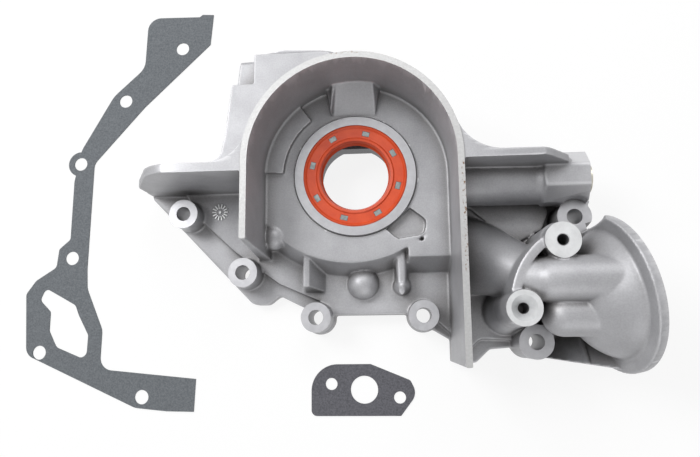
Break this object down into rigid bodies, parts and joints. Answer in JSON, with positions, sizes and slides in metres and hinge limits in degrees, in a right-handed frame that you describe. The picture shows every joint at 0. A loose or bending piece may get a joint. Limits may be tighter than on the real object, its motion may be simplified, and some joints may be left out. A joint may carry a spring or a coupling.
{
  "type": "engine oil pump",
  "caption": "Crank-driven gerotor oil pump in a cast housing with front seal, relief valve, pick-up flange, filter flange and loose gaskets.",
  "frame": {"origin": "crankshaft axis at the engine-side mounting face", "axes": "+Z along the crankshaft away from the engine, +X towards the relief valve and filter, +Y towards the oil pick-up"},
  "size_m": [0.3769, 0.2656, 0.0888],
  "materials": {
    "cast_aluminium": "as-cast, softly blasted",
    "cover_steel": "ground flat",
    "seal_rubber": "moulded",
    "seal_steel": "pressed",
    "spring_steel": "oiled",
    "plated_steel": "zinc plated",
    "copper_washer": "annealed",
    "sintered_steel": "sintered and ground",
    "ground_steel": "ground",
    "screw_steel": "black oxide",
    "gasket_fibre": "fibre sheet",
    "gasket_fibre_dark": "fibre sheet"
  },
  "bodies": {
    "housing": {"pump_body": "cast_aluminium", "rear_cover": "cover_steel", "cover_screw_1": "screw_steel", "cover_screw_2": "screw_steel", "cover_screw_3": "screw_steel", "cover_screw_4": "screw_steel", "cover_screw_5": "screw_steel", "cover_screw_6": "screw_steel", "cover_pin_1": "ground_steel", "cover_pin_2": "ground_steel", "crank_seal": "seal_rubber", "seal_steel_ring": "seal_steel", "seal_garter_spring": "spring_steel", "relief_plug": "plated_steel", "plug_washer": "copper_washer", "gallery_plug": "plated_steel", "filter_union": "plated_steel", "relief_spring": "spring_steel"},
    "outer_rotor": {"outer_rotor": "sintered_steel"},
    "inner_rotor": {"inner_rotor": "sintered_steel"},
    "relief_piston": {"relief_piston": "ground_steel"},
    "mounting_gasket": {"mounting_gasket": "gasket_fibre"},
    "pickup_gasket": {"pickup_gasket": "gasket_fibre_dark"}
  },
  "joints": [
    {"name": "outer_rotor_spin", "type": "hinge", "parent": "housing", "child": "outer_rotor", "pos_m": [0, 0.0029, 0.0105], "axis": [0, 0, 1], "continuous": true},
    {"name": "inner_rotor_spin", "type": "hinge", "parent": "housing", "child": "inner_rotor", "pos_m": [0, 0, 0.0105], "axis": [0, 0, 1], "continuous": true},
    {"name": "relief_piston_slide", "type": "slide", "parent": "housing", "child": "relief_piston", "axis": [1, 0, 0], "range_m": [0, 0.012], "stiffness_N_per_m": 2500, "springref_m": -0.004, "deforming": ["relief_spring"]},
    {"name": "mounting_gasket_lift", "type": "slide", "parent": "housing", "child": "mounting_gasket", "axis": [0, 0, 1], "range_m": [0, 0.06]},
    {"name": "pickup_gasket_lift", "type": "slide", "parent": "housing", "child": "pickup_gasket", "axis": [0, 0, 1], "range_m": [0, 0.06]}
  ],
  "couplings": [
    {"joint": "inner_rotor_spin", "follows": "outer_rotor_spin", "ratio": 1.1111}
  ]
}
